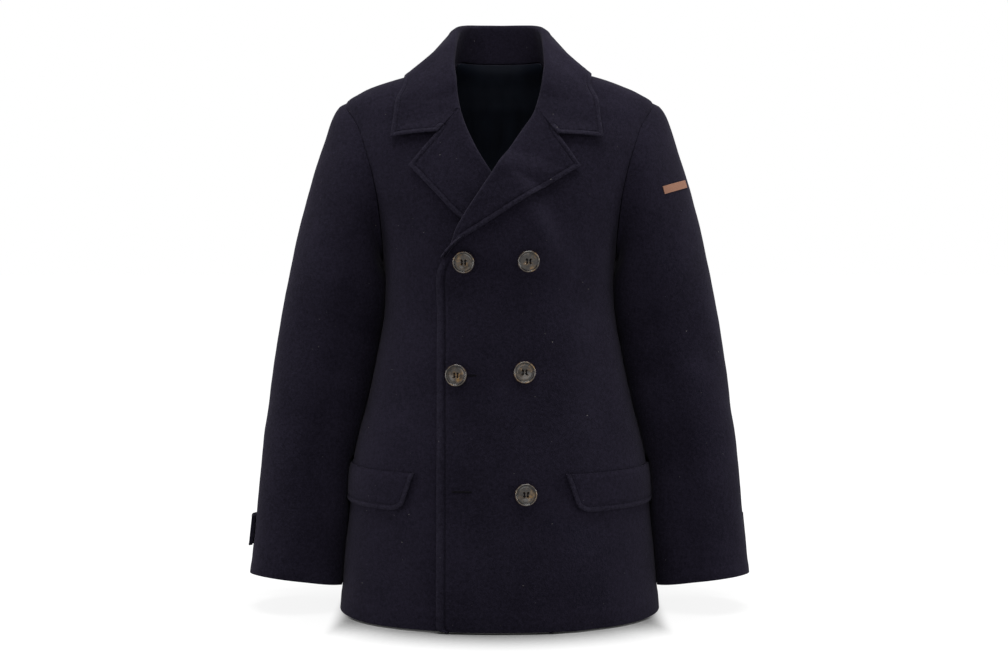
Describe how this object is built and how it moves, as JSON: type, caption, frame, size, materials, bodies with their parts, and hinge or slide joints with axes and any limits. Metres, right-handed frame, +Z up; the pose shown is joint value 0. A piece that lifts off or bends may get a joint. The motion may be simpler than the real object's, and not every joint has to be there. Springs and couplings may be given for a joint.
{
  "type": "pea coat",
  "caption": "Double-breasted wool pea coat, filled out as when worn, with a turned-down collar, notched lapels, hip pocket flaps and cuff straps.",
  "frame": {"origin": "middle of the base of the neck, level with the shoulder seams at the neck", "axes": "+Z up, the front faces -Y, +X towards the wearer's left"},
  "size_m": [0.6781, 0.2965, 0.7973],
  "materials": {
    "melton": "napped navy wool melton",
    "satin": "dark navy satin lining",
    "horn": "polished mottled horn resin"
  },
  "bodies": {
    "root": {"front_under": "melton", "front_top": "melton", "back": "melton", "sleeve_left": "melton", "sleeve_right": "melton", "strap_left": "melton", "strap_right": "melton", "lapel_under": "melton", "lapel_top": "melton", "collar": "melton", "flap_left": "melton", "flap_right": "melton", "lining_back": "satin", "button_1": "horn", "button_2": "horn", "button_3": "horn", "button_4": "horn", "button_5": "horn"}
  },
  "joints": []
}
